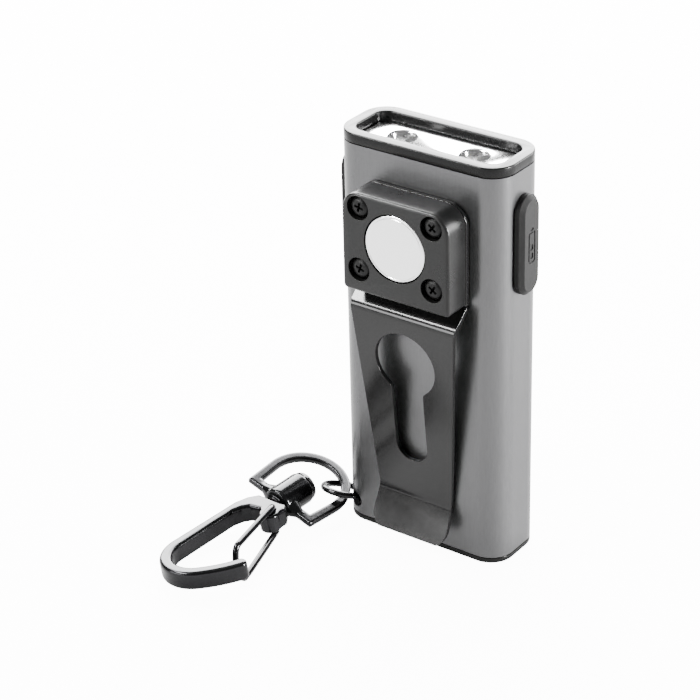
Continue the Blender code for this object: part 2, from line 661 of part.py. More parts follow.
def make_gate(holder):
    # a bent wire whose two ends turn in the hook's head; it closes against the nose
    px, py = GATE_PIVOT
    leg = HOOK_THICKNESS / 2 + GATE_WIRE + 0.15 * MM
    mm = MM
    elbow = 0.25 * mm
    route = [(px + elbow, py - elbow, leg), (5.1 * mm, -13.0 * mm, leg),
             (5.6 * mm, -14.9 * mm, leg * 0.9), (5.65 * mm, -15.5 * mm, leg * 0.2),
             (5.6 * mm, -15.7 * mm, -leg * 0.7), (6.2 * mm, -16.1 * mm, -leg),
             (7.0 * mm, -15.9 * mm, -leg), (7.1 * mm, -15.0 * mm, -leg),
             (px + elbow, py - elbow, -leg)]
    points = [Vector((px, py, 0.4 * mm)), Vector((px, py, leg - 0.2 * mm))]
    points += smooth_route(route, 4)
    points += [Vector((px, py, -leg + 0.2 * mm)), Vector((px, py, -0.4 * mm))]
    paint(wire("wire_gate", points, GATE_WIRE, holder), black_nickel)


make_case()
make_bottom_cap()
make_bezel()
make_light_head()
make_insides()
make_socket_and_switch()
make_flap()
make_button()
make_magnet_block()
make_clip()
make_jump_ring()
make_d_ring()
make_hook()
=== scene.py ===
import bpy
import bmesh
import json
from math import radians, degrees, sin, cos, pi, hypot, atan2, acos
from mathutils import Matrix, Vector


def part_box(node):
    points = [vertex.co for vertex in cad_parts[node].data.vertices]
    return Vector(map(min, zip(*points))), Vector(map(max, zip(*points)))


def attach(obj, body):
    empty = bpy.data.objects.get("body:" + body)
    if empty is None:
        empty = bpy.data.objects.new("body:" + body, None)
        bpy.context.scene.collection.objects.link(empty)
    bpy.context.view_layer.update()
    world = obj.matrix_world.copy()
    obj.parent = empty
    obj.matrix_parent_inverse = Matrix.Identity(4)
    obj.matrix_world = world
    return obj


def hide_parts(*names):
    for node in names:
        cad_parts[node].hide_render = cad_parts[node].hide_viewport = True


# Keychain flashlight: the looks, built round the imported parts.
# Shapes are worked in millimetres and brought to metres when a piece is finished.

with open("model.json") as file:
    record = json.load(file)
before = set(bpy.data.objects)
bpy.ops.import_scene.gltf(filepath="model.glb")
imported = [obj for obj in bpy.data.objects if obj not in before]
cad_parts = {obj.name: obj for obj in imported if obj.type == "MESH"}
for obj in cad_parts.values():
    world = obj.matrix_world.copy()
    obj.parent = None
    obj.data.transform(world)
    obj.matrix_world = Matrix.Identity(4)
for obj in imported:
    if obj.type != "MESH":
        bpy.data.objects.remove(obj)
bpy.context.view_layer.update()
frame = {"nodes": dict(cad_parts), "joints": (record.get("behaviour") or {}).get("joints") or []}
mm = 0.001
mergeGap = 0.0005  # points closer than this are one, in millimetres
thinEdge = 0.0003
joints = {joint["name"]: joint for joint in frame["joints"]}


def boxOf(node):  # a part's lowest and highest corners, in millimetres
    low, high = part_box(node)
    return Vector(low) / mm, Vector(high) / mm


def middleOf(node):
    low, high = boxOf(node)
    return (low + high) / 2


# shaping helpers

def edgesAlong(bm, axis):
    index = "XYZ".index(axis)
    found = []
    for edge in bm.edges:
        run = edge.verts[1].co - edge.verts[0].co
        if abs(run[index]) > 0.999 * run.length:
            found.append(edge)
    return found


def edgesAt(bm, axis, place, reach=0.01):  # edges that lie in one flat plane
    index = "XYZ".index(axis)
    return [edge for edge in bm.edges if all(abs(v.co[index] - place) < reach for v in edge.verts)]


def roundOff(bm, edges, width, steps=4):
    bmesh.ops.bevel(bm, geom=edges, offset=width, offset_type="OFFSET", affect="EDGES",
                    segments=steps, profile=0.5, material=-1, clamp_overlap=True)
    return bm


def slab(low, high, axis="Z", corner=0.0, steps=8):  # a block with round edges along one axis
    low, high = Vector(low), Vector(high)
    bm = bmesh.new()
    bmesh.ops.create_cube(bm, size=1.0)
    bmesh.ops.scale(bm, vec=high - low, verts=bm.verts)
    bmesh.ops.translate(bm, vec=(low + high) / 2, verts=bm.verts)
    if corner:
        roundOff(bm, edgesAlong(bm, axis), corner, steps)
    return bm


def rod(start, end, startRadius, endRadius=None, steps=48):
    start, end = Vector(start), Vector(end)
    bm = bmesh.new()
    bmesh.ops.create_cone(bm, cap_ends=True, segments=steps, radius1=startRadius,
                          radius2=startRadius if endRadius is None else endRadius,
                          depth=(end - start).length)
    turn = Vector((0, 0, 1)).rotation_difference(end - start).to_matrix().to_4x4()
    bmesh.ops.transform(bm, matrix=Matrix.Translation((start + end) / 2) @ turn, verts=bm.verts)
    return bm


def lathe(profile, base, towards, steps=48):  # (radius, height) pairs turned about an axis
    bm = bmesh.new()
    line = [bm.verts.new((radius, 0, height)) for radius, height in profile]
    edges = [bm.edges.new(pair) for pair in zip(line, line[1:])]
    bmesh.ops.spin(bm, geom=line + edges, cent=(0, 0, 0), axis=(0, 0, 1), angle=2 * pi,
                   steps=steps, use_merge=True)
    bmesh.ops.remove_doubles(bm, verts=bm.verts, dist=mergeGap)
    bmesh.ops.recalc_face_normals(bm, faces=bm.faces)
    turn = Vector((0, 0, 1)).rotation_difference(Vector(towards)).to_matrix().to_4x4()
    bmesh.ops.transform(bm, matrix=Matrix.Translation(Vector(base)) @ turn, verts=bm.verts)
    return bm


def sheetCut(outline, low, high, facing="Z"):  # a flat outline given a thickness
    bm = bmesh.new()
    face = bm.faces.new([bm.verts.new((x, y, low)) for x, y in outline])
    grown = bmesh.ops.extrude_face_region(bm, geom=[face])
    raised = [item for item in grown["geom"] if isinstance(item, bmesh.types.BMVert)]
    bmesh.ops.translate(bm, vec=(0, 0, high - low), verts=raised)
    bmesh.ops.recalc_face_normals(bm, faces=bm.faces)
    if facing == "Y":  # outline in X and Z, thickness from y = low to y = high
        bmesh.ops.transform(bm, matrix=Matrix(((1, 0, 0, 0), (0, 0, 1, 0), (0, 1, 0, 0),
                                               (0, 0, 0, 1))), verts=bm.verts)
        bmesh.ops.reverse_faces(bm, faces=bm.faces)
    if facing == "X":  # outline in Y and Z
        bmesh.ops.transform(bm, matrix=Matrix(((0, 0, 1, 0), (1, 0, 0, 0), (0, 1, 0, 0),
                                               (0, 0, 0, 1))), verts=bm.verts)
    return bm


def arcPoints(x, y, radius, start, end, steps):
    angles = [radians(start + (end - start) * i / steps) for i in range(steps + 1)]
    return [(x + radius * cos(a), y + radius * sin(a)) for a in angles]


def helperObject(bm, name="helper"):
    mesh = bpy.data.meshes.new(name)
    bm.to_mesh(mesh)
    bm.free()
    helper = bpy.data.objects.new(name, mesh)
    bpy.context.scene.collection.objects.link(helper)
    return helper


def dropHelper(helper):
    mesh = helper.data
    bpy.data.objects.remove(helper, do_unlink=True)
    bpy.data.meshes.remove(mesh)


def shownShape(helper):  # the shape with its modifiers in it
    bpy.context.view_layer.update()
    shown = helper.evaluated_get(bpy.context.evaluated_depsgraph_get())
    bm = bmesh.new()
    bm.from_mesh(shown.to_mesh())
    shown.to_mesh_clear()
    return bm


def combine(bm, other, how="DIFFERENCE"):
    first, second = helperObject(bm), helperObject(other)
    step = first.modifiers.new("combine", "BOOLEAN")
    step.operation = how
    step.solver = "EXACT"
    step.object = second
    result = shownShape(first)
    dropHelper(first)
    dropHelper(second)
    bmesh.ops.remove_doubles(result, verts=result.verts, dist=mergeGap)
    bmesh.ops.dissolve_degenerate(result, edges=result.edges, dist=thinEdge)
    return result


def castSmooth(bm, grain, passes):  # melts the joins of a casting into fillets
    first = helperObject(bm)
    melt = first.modifiers.new("melt", "REMESH")
    melt.mode = "VOXEL"
    melt.voxel_size = grain
    relax = first.modifiers.new("relax", "SMOOTH")
    relax.factor = 0.5
    relax.iterations = passes
    result = shownShape(first)
    dropHelper(first)
    return result


def dropCrumbs(bm, smallest=6):  # loose slivers a Boolean can leave
    waiting, crumbs = set(bm.faces), []
    while waiting:
        island, edge = set(), [waiting.pop()]
        while edge:
            face = edge.pop()
            island.add(face)
            near = {other for side in face.edges for other in side.link_faces} & waiting
            waiting -= near
            edge += near
        if len(island) < smallest:
            crumbs += island
    bmesh.ops.delete(bm, geom=crumbs, context="FACES")


def finishPiece(name, bm, body, material, nodes=(), soften=0.0, steps=2, sharp=35):
    bmesh.ops.remove_doubles(bm, verts=bm.verts, dist=mergeGap)
    dropCrumbs(bm)
    bmesh.ops.scale(bm, vec=(mm, mm, mm), verts=bm.verts)
    mesh = bpy.data.meshes.new(name)
    bm.to_mesh(mesh)
    bm.free()
    piece = bpy.data.objects.new(name, mesh)
    bpy.context.scene.collection.objects.link(piece)
    mesh.materials.append(material)
    mesh.shade_smooth()
    if not soften:
        mesh.set_sharp_from_angle(angle=radians(sharp))
    else:
        edge = piece.modifiers.new("softEdges", "BEVEL")
        edge.width = soften * mm
        edge.segments = steps
        edge.limit_method = "ANGLE"
        edge.angle_limit = radians(sharp)
        edge.harden_normals = True
        edge.use_clamp_overlap = True
    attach(piece, body)
    if nodes:
        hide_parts(*nodes)
    return piece


# finishes

def newGroup(name, inputs, outputs):
    group = bpy.data.node_groups.new(name, "ShaderNodeTree")
    for label, kind, value in inputs:
        socket = group.interface.new_socket(label, in_out="INPUT", socket_type=kind)
        if value is not None:
            socket.default_value = value
    for label, kind in outputs:
        group.interface.new_socket(label, in_out="OUTPUT", socket_type=kind)
    return group, group.nodes.new("NodeGroupInput"), group.nodes.new("NodeGroupOutput")


def mapTo(tree, source, low, high, toLow, toHigh):
    node = tree.nodes.new("ShaderNodeMapRange")
    node.inputs["From Min"].default_value = low
    node.inputs["From Max"].default_value = high
    for socket, value in (("To Min", toLow), ("To Max", toHigh)):
        if hasattr(value, "links"):
            tree.links.new(value, node.inputs[socket])
        else:
            node.inputs[socket].default_value = value
    tree.links.new(source, node.inputs["Value"])
    return node.outputs["Result"]


def makeGrain():  # fine grain over slow cloudy patches: colour, roughness and height together
    group, start, end = newGroup(
        "surfaceGrain",
        [("Vector", "NodeSocketVector", None), ("Grain Scale", "NodeSocketFloat", 3000.0),
         ("Cloud Scale", "NodeSocketFloat", 120.0), ("Dark", "NodeSocketColor", None),
         ("Light", "NodeSocketColor", None), ("Smooth", "NodeSocketFloat", 0.3),
         ("Rough", "NodeSocketFloat", 0.4)],
        [("Colour", "NodeSocketColor"), ("Roughness", "NodeSocketFloat"),
         ("Height", "NodeSocketFloat")])
    fine = group.nodes.new("ShaderNodeTexNoise")
    fine.inputs["Detail"].default_value = 3.0
    cloud = group.nodes.new("ShaderNodeTexNoise")
    cloud.inputs["Detail"].default_value = 4.0
    group.links.new(start.outputs["Vector"], fine.inputs["Vector"])
    group.links.new(start.outputs["Vector"], cloud.inputs["Vector"])
    group.links.new(start.outputs["Grain Scale"], fine.inputs["Scale"])
    group.links.new(start.outputs["Cloud Scale"], cloud.inputs["Scale"])
    both = group.nodes.new("ShaderNodeMath")
    both.operation = "MULTIPLY_ADD"
    both.inputs[1].default_value = 0.55
    cloudShare = mapTo(group, cloud.outputs["Fac"], 0.3, 0.7, 0.0, 0.45)
    group.links.new(fine.outputs["Fac"], both.inputs[0])
    group.links.new(cloudShare, both.inputs[2])
    blend = group.nodes.new("ShaderNodeMix")
    blend.data_type = "RGBA"
    group.links.new(both.outputs[0], blend.inputs[0])
    group.links.new(start.outputs["Dark"], blend.inputs[6])
    group.links.new(start.outputs["Light"], blend.inputs[7])
    rough = mapTo(group, both.outputs[0], 0.2, 0.8, start.outputs["Smooth"], start.outputs["Rough"])
    group.links.new(blend.outputs[2], end.inputs["Colour"])
    group.links.new(rough, end.inputs["Roughness"])
    group.links.new(fine.outputs["Fac"], end.inputs["Height"])
    return group


def makeScratches():  # sparse hairlines that come up in bright metal
    group, start, end = newGroup(
        "hairlines",
        [("Vector", "NodeSocketVector", None), ("Scale", "NodeSocketFloat", 900.0),
         ("Amount", "NodeSocketFloat", 0.2)],
        [("Mask", "NodeSocketFloat")])
    mapping = group.nodes.new("ShaderNodeMapping")
    mapping.inputs["Scale"].default_value = (1.0, 1.0, 0.03)
    mapping.inputs["Rotation"].default_value = (0.5, 0.9, 0.3)
    noise = group.nodes.new("ShaderNodeTexNoise")
    noise.inputs["Detail"].default_value = 2.0
    group.links.new(start.outputs["Vector"], mapping.inputs["Vector"])
    group.links.new(mapping.outputs["Vector"], noise.inputs["Vector"])
    group.links.new(start.outputs["Scale"], noise.inputs["Scale"])
    line = mapTo(group, noise.outputs["Fac"], 0.62, 0.72, 0.0, start.outputs["Amount"])
    group.links.new(line, end.inputs["Mask"])
    return group


grainGroup = makeGrain()
scratchGroup = makeScratches()


def grey(value, tint=0.0):
    return (value, value, value * (1 + tint), 1.0)


def makeFinish(name, dark, light, smooth, rough, metallic=0.0, grain=3000.0, cloud=120.0,
               bump=0.1, depth=0.01, stretch=(1, 1, 1), scratches=0.0, coat=0.0, shine=0.5):
    mat = bpy.data.materials.new(name)
    mat.use_nodes = True
    tree = mat.node_tree
    shader = tree.nodes["Principled BSDF"]
    shader.inputs["Metallic"].default_value = metallic
    shader.inputs["Specular IOR Level"].default_value = shine
    shader.inputs["Coat Weight"].default_value = coat
    shader.inputs["Coat Roughness"].default_value = 0.1
    coords = tree.nodes.new("ShaderNodeTexCoord")
    mapping = tree.nodes.new("ShaderNodeMapping")
    mapping.inputs["Scale"].default_value = stretch
    tree.links.new(coords.outputs["Object"], mapping.inputs["Vector"])
    field = tree.nodes.new("ShaderNodeGroup")
    field.node_tree = grainGroup
    field.inputs["Grain Scale"].default_value = grain
    field.inputs["Cloud Scale"].default_value = cloud
    field.inputs["Dark"].default_value = dark
    field.inputs["Light"].default_value = light
    field.inputs["Smooth"].default_value = smooth
    field.inputs["Rough"].default_value = rough
    tree.links.new(mapping.outputs["Vector"], field.inputs["Vector"])
    tree.links.new(field.outputs["Colour"], shader.inputs["Base Color"])
    roughness = field.outputs["Roughness"]
    if scratches:
        lines = tree.nodes.new("ShaderNodeGroup")
        lines.node_tree = scratchGroup
        lines.inputs["Amount"].default_value = scratches
        tree.links.new(coords.outputs["Object"], lines.inputs["Vector"])
        total = tree.nodes.new("ShaderNodeMath")
        tree.links.new(roughness, total.inputs[0])
        tree.links.new(lines.outputs["Mask"], total.inputs[1])
        roughness = total.outputs[0]
    tree.links.new(roughness, shader.inputs["Roughness"])
    relief = tree.nodes.new("ShaderNodeBump")
    relief.inputs["Strength"].default_value = bump
    relief.inputs["Distance"].default_value = depth * mm
    tree.links.new(field.outputs["Height"], relief.inputs["Height"])
    tree.links.new(relief.outputs["Normal"], shader.inputs["Normal"])
    return mat


finishes = {
    "anodised": makeFinish("gunmetalAnodised", grey(0.085, 0.02), grey(0.12, 0.02), 0.26, 0.36, 0.9,
                           5200, 60, 0.25, 0.006, (1, 1, 0.08)),
    "blackPlastic": makeFinish("blockPlastic", grey(0.002), grey(0.005), 0.26, 0.36, 0.0, 2600,
                               200, 0.12, 0.01, shine=0.26),
    "rimPlastic": makeFinish("rimPlastic", grey(0.003), grey(0.006), 0.2, 0.3, 0.0, 2200, 160,
                             0.05, 0.008, shine=0.14),
    "rubber": makeFinish("softRubber", grey(0.003), grey(0.007), 0.48, 0.64, 0.0, 4200, 260, 0.3,
                         0.012, shine=0.14),
    "blackSteel": makeFinish("clipBlackSteel", grey(0.004), grey(0.008), 0.13, 0.2, 0.3, 1800,
                             90, 0.08, 0.008, shine=0.4),
    "screwSteel": makeFinish("screwBlackOxide", grey(0.008), grey(0.02), 0.26, 0.4, 0.6, 3600,
                             300, 0.2, 0.008, shine=0.14),
    "blackNickel": makeFinish("blackNickel", grey(0.012, 0.05), grey(0.024, 0.05), 0.12, 0.22,
                              0.9, 1500, 140, 0.05, 0.01, scratches=0.08, shine=0.6),
    "mirrorChrome": makeFinish("reflectorChrome", grey(0.88), grey(0.95), 0.12, 0.2, 1.0, 900,
                               90, 0.05, 0.02, scratches=0.05),
    "magnetNickel": makeFinish("magnetNickel", grey(0.92), grey(0.97), 0.16, 0.26, 1.0, 2600, 150,
                               0.06, 0.006, scratches=0.15),
    "zinc": makeFinish("zincPlate", grey(0.5), grey(0.66), 0.24, 0.4, 1.0, 2500, 200, 0.15, 0.01,
                       scratches=0.15),
    "greyPlastic": makeFinish("mouldedGrey", grey(0.25), grey(0.32), 0.42, 0.55, 0.0, 2600, 200,
                              0.15, 0.01),
    "foil": makeFinish("cellFoil", grey(0.62), grey(0.74), 0.25, 0.42, 0.9, 700, 120, 0.3, 0.03),
    "whiteBoard": makeFinish("whiteBoard", grey(0.7), grey(0.82), 0.35, 0.5, 0.0, 2600, 300,
                             0.1, 0.006),
    "ledPackage": makeFinish("ledPackage", (0.75, 0.7, 0.5, 1), (0.85, 0.8, 0.62, 1), 0.3, 0.4,
                             0.0, 3000, 600, 0.1, 0.005),
    "ledDome": makeFinish("ledPhosphor", (0.78, 0.62, 0.16, 1), (0.92, 0.8, 0.32, 1), 0.12, 0.2,
                          0.0, 4000, 900, 0.05, 0.004, coat=1.0),
}


def makeBoardFinish():  # green mask with raised copper tracks under it
    mat = makeFinish("boardGreen", (0.012, 0.1, 0.035, 1), (0.02, 0.15, 0.05, 1), 0.28, 0.4,
                     0.0, 2600, 200, 0.1, 0.01)
    tree = mat.node_tree
    shader = tree.nodes["Principled BSDF"]
    coords = next(node for node in tree.nodes if node.type == "TEX_COORD")
    turned = tree.nodes.new("ShaderNodeMapping")
    turned.inputs["Rotation"].default_value = (radians(90), 0, 0)
    tracks = tree.nodes.new("ShaderNodeTexBrick")
    tracks.inputs["Scale"].default_value = 260.0
    tracks.inputs["Mortar Size"].default_value = 0.035
    tracks.inputs["Color1"].default_value = (0.012, 0.1, 0.035, 1)
    tracks.inputs["Color2"].default_value = (0.018, 0.13, 0.045, 1)
    tracks.inputs["Mortar"].default_value = (0.05, 0.3, 0.1, 1)
    tree.links.new(coords.outputs["Object"], turned.inputs["Vector"])
    tree.links.new(turned.outputs["Vector"], tracks.inputs["Vector"])
    tree.links.new(tracks.outputs["Color"], shader.inputs["Base Color"])
    return mat


finishes["board"] = makeBoardFinish()
print("finishes made:", len(finishes))

# case, cap and rim

body = {"corner": 3.8, "wall": 0.9, "steps": 16, "gap": 0.15}
caseLow, caseHigh = boxOf("case_shell")
screwSpots = [middleOf(f"block_screw_{number}") for number in range(1, 5)]
sideZ = middleOf("usb_flap").z


def tubeSlab(low, high, inset):  # the body's plan outline, drawn in by an inset
    return slab((caseLow.x + inset, caseLow.y + inset, low),
                (caseHigh.x - inset, caseHigh.y - inset, high),
                "Z", body["corner"] - inset, body["steps"])


def sidePad(x0, x1, width, height, middle=(0.0, 0.0), steps=24):  # a long round-ended pad
    y, z = middle
    reach = (height - width) / 2
    outline = arcPoints(y, z + reach, width / 2, 0, 180, steps)
    outline += arcPoints(y, z - reach, width / 2, 180, 360, steps)
    return sheetCut(outline, min(x0, x1), max(x0, x1), "X")


def drillScrewHoles(bm, startY, endY, radius):
    for spot in screwSpots:
        bm = combine(bm, rod((spot.x, startY, spot.z), (spot.x, endY, spot.z), radius, steps=32))
    return bm


def makeCaseShell():
    shell = {"flapHole": (3.6, 12.8), "buttonHole": (5.1, 15.5), "screwHole": 0.95,
             "cornerHole": 1.25, "cornerAt": (3.1, 0.03), "cornerDepth": 3.6,
             "sideHole": 1.0, "sideAt": (2.62, -0.95), "sideDepth": 2.4, "reach": 1.8}
    bm = combine(tubeSlab(caseLow.z, caseHigh.z, 0),
                 tubeSlab(caseLow.z - 1, caseHigh.z + 1, body["wall"]))
    reach = shell["reach"]
    bm = combine(bm, sidePad(caseHigh.x - reach, caseHigh.x + reach, *shell["flapHole"],
                             (0, sideZ)))
    bm = combine(bm, sidePad(caseLow.x - reach, caseLow.x + reach, *shell["buttonHole"],
                             (0, sideZ)))
    bm = drillScrewHoles(bm, caseLow.y - reach, caseLow.y + reach, shell["screwHole"])
    ring = middleOf("jump_ring")  # it passes in through the front and out through the side
    x, z = ring.x + shell["cornerAt"][0], ring.z + shell["cornerAt"][1]
    bm = combine(bm, rod((x, caseLow.y - 2, z), (x, caseLow.y + shell["cornerDepth"], z),
                         shell["cornerHole"], steps=32))
    y, z = ring.y + shell["sideAt"][0], ring.z + shell["sideAt"][1]
    bm = combine(bm, rod((caseLow.x - 2, y, z), (caseLow.x + shell["sideDepth"], y, z),
                         shell["sideHole"], steps=32))
    piece = finishPiece("caseTube", bm, "case", finishes["anodised"], ["case_shell"], 0.09, 2)


def makeBottomCap():
    cap = {"edge": 0.28, "topEdge": 0.08}
    low, high = boxOf("bottom_cap")
    lidTop = caseLow.z - body["gap"]
    bm = tubeSlab(low.z, lidTop, 0)
    roundOff(bm, edgesAt(bm, "Z", low.z), cap["edge"], 4)
    roundOff(bm, edgesAt(bm, "Z", lidTop), cap["topEdge"], 2)
    bm = combine(bm, tubeSlab(lidTop - 0.4, high.z, body["wall"] + body["gap"]), "UNION")
    piece = finishPiece("bottomCap", bm, "case", finishes["rimPlastic"], ["bottom_cap"])


def makeRim():
    rim = {"rim": 1.85, "outerEdge": 0.22, "innerEdge": 0.25, "slack": 0.05}
    low, high = boxOf("top_bezel")
    rimLow = caseHigh.z + body["gap"]
    bm = tubeSlab(rimLow, high.z, 0)
    roundOff(bm, edgesAt(bm, "Z", high.z), rim["outerEdge"], 4)
    roundOff(bm, edgesAt(bm, "Z", rimLow), 0.08, 2)
    bm = combine(bm, tubeSlab(low.z, rimLow + 0.5, body["wall"] + body["gap"]), "UNION")
    bm = combine(bm, tubeSlab(low.z - 1, high.z + 1, rim["rim"]))
    inner = [edge for edge in edgesAt(bm, "Z", high.z)
             if max(abs(v.co.x) for v in edge.verts) < caseHigh.x - rim["rim"] + rim["slack"]
             and max(abs(v.co.y) for v in edge.verts) < caseHigh.y - rim["rim"] + rim["slack"]]
    roundOff(bm, inner, rim["innerEdge"], 3)
    piece = finishPiece("headRim", bm, "case", finishes["rimPlastic"], ["top_bezel"])


makeCaseShell()
makeBottomCap()
makeRim()
print("case, cap and rim made")

# light head


def makeReflector():
    plate = {"corner": 1.8, "wellTop": 2.1, "wellLow": 1.5, "border": 0.45, "lip": 0.28}
    low, high = boxOf("reflector_plate")
    bm = slab(low, high, "Z", plate["corner"], 10)
    roundOff(bm, edgesAt(bm, "Z", high.z), plate["border"], 5)
    well = [(0, low.z - 0.5), (plate["wellLow"] - 0.05, low.z - 0.5),
            (plate["wellLow"], low.z), (plate["wellTop"] - 0.05, high.z - plate["lip"]),
            (plate["wellTop"] + 0.1, high.z - 0.08), (plate["wellTop"] + 0.25, high.z),
            (plate["wellTop"] + 0.25, high.z + 0.5), (0, high.z + 0.5)]
    for node in ("led_left", "led_right"):
        bm = combine(bm, lathe(well, (middleOf(node).x, 0, 0), (0, 0, 1), 64))
    piece = finishPiece("reflector", bm, "case", finishes["mirrorChrome"], ["reflector_plate"],
                        0.05, 2)


def makeLed(side):
    led = {"package": 1.5, "height": 0.5, "dome": 1.15}
    low, high = boxOf("led_" + side.lower())
    x = (low.x + high.x) / 2
    package = slab((x - led["package"], -led["package"], low.z),
                   (x + led["package"], led["package"], low.z + led["height"]), "Z", 0.3, 4)
    base = finishPiece("ledPackage" + side, package, "case", finishes["ledPackage"],
                       ["led_" + side.lower()], 0.05, 2)
    rise = high.z - low.z - led["height"]
    profile = [(0, -0.1), (led["dome"], -0.1)]
    profile += [(led["dome"] * cos(radians(a)), rise * sin(radians(a))) for a in range(0, 90, 10)]
    dome = lathe(profile + [(0, rise)], (x, 0, low.z + led["height"]), (0, 0, 1), 40)
    finishPiece("ledDome" + side, dome, "case", finishes["ledDome"])


makeReflector()
makeLed("Left")
makeLed("Right")
print("light head made")

# magnet block, magnet and screws


def makeMagnetBlock():
    block = {"corner": 3.0, "lowCorner": 0.7, "front": 0.5, "pocket": 5.15, "pocketDepth": 3.15,
             "bore": 1.8, "boreDepth": 1.6, "shaft": 0.95}
    low, high = boxOf("magnet_housing")
    middle = middleOf("magnet")
    bm = slab(low, high)
    upper = [edge for edge in edgesAlong(bm, "Y") if edge.verts[0].co.z > middle.z]
    roundOff(bm, upper, block["corner"], 10)
    lower = [edge for edge in edgesAlong(bm, "Y") if edge.verts[0].co.z < low.z + 0.01]
    roundOff(bm, lower, block["lowCorner"], 4)
    roundOff(bm, edgesAt(bm, "Y", low.y), block["front"], 5)
    bm = combine(bm, rod((0, low.y - 1, middle.z), (0, low.y + block["pocketDepth"], middle.z),
                         block["pocket"], steps=96))
    for spot in screwSpots:
        bm = combine(bm, rod((spot.x, low.y - 1, spot.z),
                             (spot.x, low.y + block["boreDepth"], spot.z), block["bore"], steps=48))
        bm = combine(bm, rod((spot.x, low.y + 1, spot.z), (spot.x, high.y + 1, spot.z),
                             block["shaft"], steps=32))
    piece = finishPiece("magnetBlock", bm, "case", finishes["blackPlastic"], ["magnet_housing"],
                        0.12, 2, 50)


def makeMagnet():
    disc = {"radius": 5.0, "edge": 0.22, "groove": 4.62}
    low, high = boxOf("magnet")
    top = high.y - low.y
    groove = disc["groove"]
    profile = [(0, 0), (disc["radius"], 0)]
    profile += arcPoints(disc["radius"] - disc["edge"], top - disc["edge"], disc["edge"], 0, 90, 5)
    profile += [(groove + 0.05, top), (groove, top - 0.04), (groove - 0.07, top - 0.04),
                (groove - 0.12, top), (0, top)]
    bm = lathe(profile, (0, high.y, middleOf("magnet").z), (0, -1, 0), 96)
    finishPiece("magnetDisc", bm, "case", finishes["magnetNickel"], ["magnet"], sharp=30)


def makeScrew(number, turn):
    screw = {"head": 1.6, "rise": 1.2, "shaft": 0.8, "cross": 0.95, "arm": 0.22, "depth": 0.75}
    low, high = boxOf(f"block_screw_{number}")
    spot = middleOf(f"block_screw_{number}")
    seat = low.y + screw["rise"]
    length = high.y - seat
    r, h = screw["head"], screw["rise"]
    profile = [(0, -length), (screw["shaft"] - 0.2, -length), (screw["shaft"], -length + 0.25),
               (screw["shaft"], 0), (r - 0.06, 0), (r, 0.08), (r, h * 0.38), (r * 0.95, h * 0.62),
               (r * 0.84, h * 0.82), (r * 0.64, h * 0.95), (r * 0.4, h), (0, h)]
    bm = lathe(profile, (spot.x, seat, spot.z), (0, -1, 0), 48)
    for extra in (0, 90):
        arm = slab((-screw["cross"], 0, -screw["arm"]), (screw["cross"], screw["depth"] + 1,
                                                       screw["arm"]))
        deep = [v for v in arm.verts if v.co.y > 1]
        bmesh.ops.scale(arm, vec=(0.62, 1, 0.7), verts=deep)
        bmesh.ops.rotate(arm, cent=(0, 0, 0), matrix=Matrix.Rotation(radians(turn + extra), 3, "Y"),
                         verts=arm.verts)
        bmesh.ops.translate(arm, vec=(spot.x, low.y - 1, spot.z), verts=arm.verts)
        bm = combine(bm, arm)
    piece = finishPiece(f"blockScrew{number}", bm, "case", finishes["screwSteel"],
                        [f"block_screw_{number}"])


makeMagnetBlock()
makeMagnet()
for number, turn in ((1, 12), (2, 38), (3, 20), (4, 33)):
    makeScrew(number, turn)
print("magnet block made")

# belt clip

clip = {"sheet": 0.7, "bendOut": 4.0, "bendZ": 39.3, "bendHalf": 8.85, "kinkZ": 8.5,
        "kinkHalf": 6.35, "lipOut": 3.3, "lipZ": 2.6, "lipRadius": 2.5, "keyZ": 31.3,
        "keyRadius": 5.1, "slotHalf": 2.7, "slotZ": 17.3, "fillet": 1.2}


def makeClipPlate():
    plate = {"corner": 3.0, "screwHole": 0.95}
    low, high = boxOf("clip_plate")
    bm = slab(low, high)
    upper = [edge for edge in edgesAlong(bm, "Y") if edge.verts[0].co.z > high.z - 0.01]
    roundOff(bm, upper, plate["corner"], 8)
    bm = drillScrewHoles(bm, low.y - 1, high.y + 1, plate["screwHole"])
    finishPiece("clipPlate", bm, "case", finishes["blackSteel"], ["clip_plate"], 0.1, 2)


def sheetLine(points, thickness):  # the bent sheet's outer line, and the inner line behind it
    outer = [Vector(p) for p in points]
    inner = []
    for i, here in enumerate(outer):
        before, after = outer[max(i - 1, 0)], outer[min(i + 1, len(outer) - 1)]
        ahead = (after - here).normalized() if i < len(outer) - 1 else (here - before).normalized()
        back = (here - before).normalized() if i else ahead
        normal = Vector((-(ahead + back).y, (ahead + back).x)).normalized()
        lean = max(normal.dot(Vector((-back.y, back.x))), 0.5)
        inner.append(here + normal * thickness / lean)
    return [tuple(p) for p in outer + inner[::-1]]


